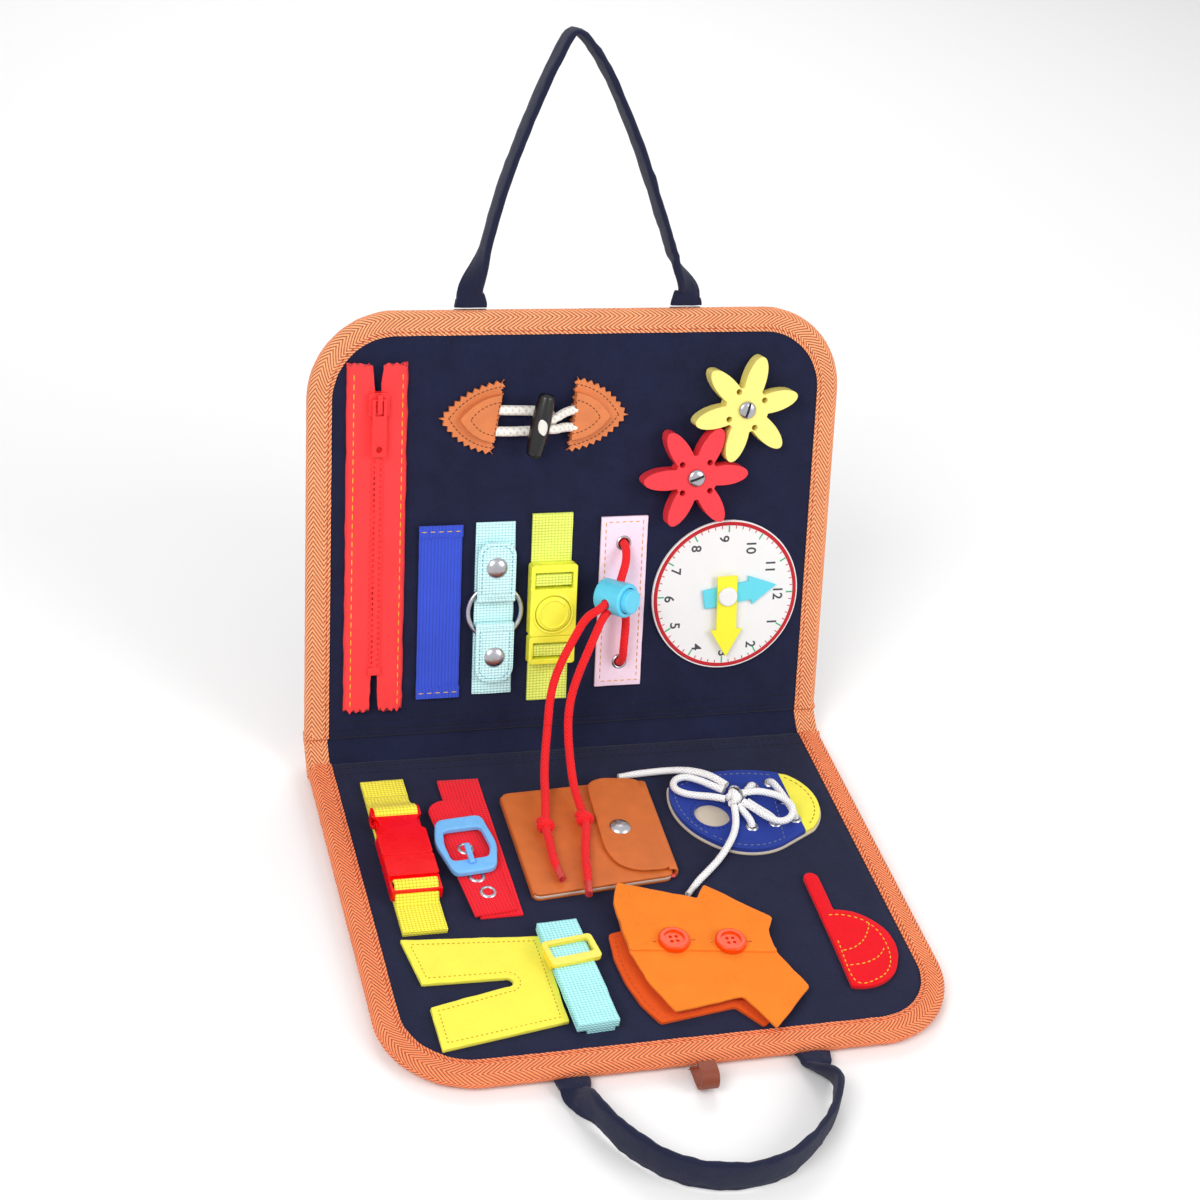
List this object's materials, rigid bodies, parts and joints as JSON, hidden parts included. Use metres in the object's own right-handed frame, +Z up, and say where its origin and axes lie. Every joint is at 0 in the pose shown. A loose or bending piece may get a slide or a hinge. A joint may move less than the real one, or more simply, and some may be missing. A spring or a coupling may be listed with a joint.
{
  "type": "busy board",
  "caption": "Folding felt busy board: a padded case with carry handles, opened to show sewn-on fastening toys such as a zip, buckles, snaps, gears and a clock.",
  "frame": {"origin": "centre of the lower panel's underside, which lies on the floor", "axes": "+Z up, +X to the right seen from the open side, +Y towards the fold and the raised upper panel"},
  "size_m": [0.256, 0.3948, 0.3216],
  "materials": {
    "board": "stiff white board",
    "navy_felt": "pressed felt",
    "orange_binding": "herringbone tape",
    "spine_felt": "pressed felt",
    "navy_webbing": "woven webbing",
    "brown_leather": "smooth leather",
    "zip_tape": "woven tape",
    "zip_plastic": "moulded plastic",
    "blue_elastic": "ribbed elastic",
    "ring_webbing": "woven webbing",
    "silver_metal": "nickel plate",
    "lime_webbing": "woven webbing",
    "lemon_plastic": "moulded plastic",
    "yellow_slider_plastic": "moulded plastic",
    "orange_plastic": "moulded plastic",
    "pink_felt": "pressed felt",
    "red_braid": "braided cord",
    "lock_blue": "moulded plastic",
    "buckle_blue": "moulded plastic",
    "toggle_leather": "pinked leather",
    "white_braid": "braided cord",
    "black_horn": "polished",
    "yellow_gear": "foam plastic",
    "red_gear": "foam plastic",
    "dial_face": "printed face",
    "yellow_hand": "moulded plastic",
    "blue_hand": "moulded plastic",
    "yellow_webbing": "ribbed webbing",
    "red_plastic": "moulded plastic",
    "red_webbing": "woven webbing",
    "tan_leather": "smooth leather",
    "beige_felt": "pressed felt",
    "blue_felt": "pressed felt",
    "yellow_felt": "pressed felt",
    "light_blue_webbing": "woven webbing",
    "orange_felt": "pressed felt",
    "red_felt": "pressed felt"
  },
  "bodies": {
    "lower_panel": {"lower_board": "board", "lower_cover": "navy_felt", "lower_binding": "orange_binding", "clip_strap": "yellow_webbing", "clip_socket": "red_plastic", "belt_strap": "red_webbing", "belt_buckle_frame": "buckle_blue", "eyelets_lower": "silver_metal", "wallet_body": "tan_leather", "shoe_base": "beige_felt", "shoe_upper": "blue_felt", "shoe_toe": "yellow_felt", "shoelace": "white_braid", "pants_felt": "yellow_felt", "pants_belt": "light_blue_webbing", "shirt_felt": "orange_felt", "shirt_buttons": "orange_plastic", "cap": "red_felt"},
    "spine_strip": {"spine": "spine_felt"},
    "upper_panel": {"upper_board": "board", "upper_cover": "navy_felt", "upper_binding": "orange_binding", "zip_tapes": "zip_tape", "zip_teeth": "zip_plastic", "elastic_band": "blue_elastic", "ring_strap_base": "ring_webbing", "push_buckle_strap": "lime_webbing", "push_buckle_socket": "lemon_plastic", "lacing_strip": "pink_felt", "lacing_eyelets": "silver_metal", "red_cord": "red_braid", "red_cord_ends": "red_braid", "cord_lock_body": "lock_blue", "toggle_patches": "toggle_leather", "toggle_cords": "white_braid", "gear_rivets": "silver_metal", "clock_dial": "dial_face"},
    "zip_slider_body": {"zip_slider": "zip_plastic"},
    "zip_pull_body": {"zip_pull": "zip_plastic"},
    "ring_flap_upper_body": {"ring_flap_upper": "ring_webbing", "ring_snap_upper": "silver_metal"},
    "ring_flap_lower_body": {"ring_flap_lower": "ring_webbing", "ring_snap_lower": "silver_metal"},
    "ring_body": {"metal_ring": "silver_metal"},
    "push_plug_body": {"push_buckle_plug": "lemon_plastic"},
    "push_button_body": {"push_buckle_button": "lemon_plastic"},
    "cord_lock_button_body": {"cord_lock_button": "lock_blue"},
    "toggle_horn_body": {"toggle_horn": "black_horn"},
    "yellow_gear_body": {"gear_yellow": "yellow_gear"},
    "red_gear_body": {"gear_red": "red_gear"},
    "long_hand_body": {"clock_minute_hand": "yellow_hand"},
    "short_hand_body": {"clock_hour_hand": "blue_hand"},
    "upper_handle_body": {"upper_handle": "navy_webbing"},
    "lower_handle_body": {"lower_handle": "navy_webbing"},
    "closure_tab_body": {"closure_tab": "brown_leather"},
    "clip_plug_body": {"clip_plug": "red_plastic"},
    "belt_prong_body": {"belt_buckle_prong": "buckle_blue"},
    "wallet_flap_body": {"wallet_flap": "tan_leather", "wallet_snap": "silver_metal"},
    "pants_slider_body": {"pants_slider": "yellow_slider_plastic"}
  },
  "joints": [
    {"name": "lower_crease", "type": "hinge", "parent": "lower_panel", "child": "spine_strip", "pos_m": [0, 0.1015, 0.003], "axis": [1, 0, 0], "range_deg": [-35.4, 44], "deforming": ["red_cord", "red_cord_ends"]},
    {"name": "upper_crease", "type": "hinge", "parent": "spine_strip", "child": "upper_panel", "pos_m": [0, 0.11234, 0.0107], "axis": [1, 0, 0], "range_deg": [-35.4, 44]},
    {"name": "zip_slide", "type": "slide", "parent": "upper_panel", "child": "zip_slider_body", "axis": [0, 0.3289, 0.9444], "range_m": [-0.117, 0], "deforming": ["zip_teeth"]},
    {"name": "zip_pull_swing", "type": "hinge", "parent": "zip_slider_body", "child": "zip_pull_body", "pos_m": [-0.0965, 0.15781, 0.16864], "axis": [1, 0, 0], "range_deg": [-150, 0]},
    {"name": "upper_flap_fold", "type": "hinge", "parent": "upper_panel", "child": "ring_flap_upper_body", "pos_m": [-0.0393, 0.12953, 0.07556], "axis": [-1, 0, 0], "range_deg": [-80, 0]},
    {"name": "lower_flap_fold", "type": "hinge", "parent": "upper_panel", "child": "ring_flap_lower_body", "pos_m": [-0.0393, 0.12565, 0.06442], "axis": [1, 0, 0], "range_deg": [-80, 0]},
    {"name": "ring_turn", "type": "hinge", "parent": "upper_panel", "child": "ring_body", "pos_m": [-0.0393, 0.12711, 0.07015], "axis": [0, -0.9444, 0.3289], "continuous": true},
    {"name": "push_plug_slide", "type": "slide", "parent": "upper_panel", "child": "push_plug_body", "axis": [0, 0.3289, 0.9444], "range_m": [-0.022, 0], "deforming": ["push_buckle_strap"]},
    {"name": "push_button_press", "type": "slide", "parent": "upper_panel", "child": "push_button_body", "axis": [0, -0.9444, 0.3289], "range_m": [-0.0015, 0], "stiffness_N_per_m": 300, "springref_m": 0.001},
    {"name": "cord_lock_press", "type": "slide", "parent": "upper_panel", "child": "cord_lock_button_body", "axis": [0.5736, -0.7736, 0.2694], "range_m": [-0.003, 0], "stiffness_N_per_m": 300, "springref_m": 0.001},
    {"name": "horn_turn", "type": "hinge", "parent": "upper_panel", "child": "toggle_horn_body", "pos_m": [-0.0222, 0.15027, 0.15792], "axis": [0, -0.9444, 0.3289], "range_deg": [-75, 0], "deforming": ["toggle_cords"]},
    {"name": "yellow_gear_turn", "type": "hinge", "parent": "upper_panel", "child": "yellow_gear_body", "pos_m": [0.07874, 0.16091, 0.1593], "axis": [0, -0.9444, 0.3289], "continuous": true},
    {"name": "red_gear_turn", "type": "hinge", "parent": "upper_panel", "child": "red_gear_body", "pos_m": [0.05535, 0.15032, 0.12889], "axis": [0, -0.9444, 0.3289], "continuous": true},
    {"name": "long_hand_turn", "type": "hinge", "parent": "upper_panel", "child": "long_hand_body", "pos_m": [0.07625, 0.13036, 0.07157], "axis": [0, -0.9444, 0.3289], "continuous": true},
    {"name": "short_hand_turn", "type": "hinge", "parent": "upper_panel", "child": "short_hand_body", "pos_m": [0.07625, 0.13036, 0.07157], "axis": [0, -0.9444, 0.3289], "continuous": true},
    {"name": "upper_handle_swing", "type": "hinge", "parent": "upper_panel", "child": "upper_handle_body", "pos_m": [0, 0.18114, 0.20371], "axis": [-1, 0, 0], "range_deg": [-60, 60]},
    {"name": "lower_handle_swing", "type": "hinge", "parent": "lower_panel", "child": "lower_handle_body", "pos_m": [0, -0.1034, 0.0015], "axis": [1, 0, 0], "range_deg": [-90, 0]},
    {"name": "closure_tab_lift", "type": "hinge", "parent": "lower_panel", "child": "closure_tab_body", "pos_m": [0.003, -0.1027, 0.0008], "axis": [1, 0, 0], "range_deg": [-75, 0]},
    {"name": "clip_plug_pull", "type": "slide", "parent": "lower_panel", "child": "clip_plug_body", "axis": [0, 1, 0], "range_m": [-0.02, 0], "deforming": ["clip_strap"]},
    {"name": "belt_prong_lift", "type": "hinge", "parent": "lower_panel", "child": "belt_prong_body", "pos_m": [-0.06815, 0.0196, 0.0131], "axis": [-1, 0, 0], "range_deg": [-100, 0]},
    {"name": "wallet_flap_open", "type": "hinge", "parent": "lower_panel", "child": "wallet_flap_body", "pos_m": [0.0274, 0.037, 0.007], "axis": [0, -1, 0], "range_deg": [-90, 0]},
    {"name": "pants_slider_move", "type": "slide", "parent": "lower_panel", "child": "pants_slider_body", "axis": [-0.0489, 0.9988, 0], "range_m": [-0.025, 0]}
  ],
  "couplings": [
    {"joint": "upper_crease", "follows": "lower_crease", "ratio": 1},
    {"joint": "red_gear_turn", "follows": "yellow_gear_turn", "ratio": -1}
  ]
}
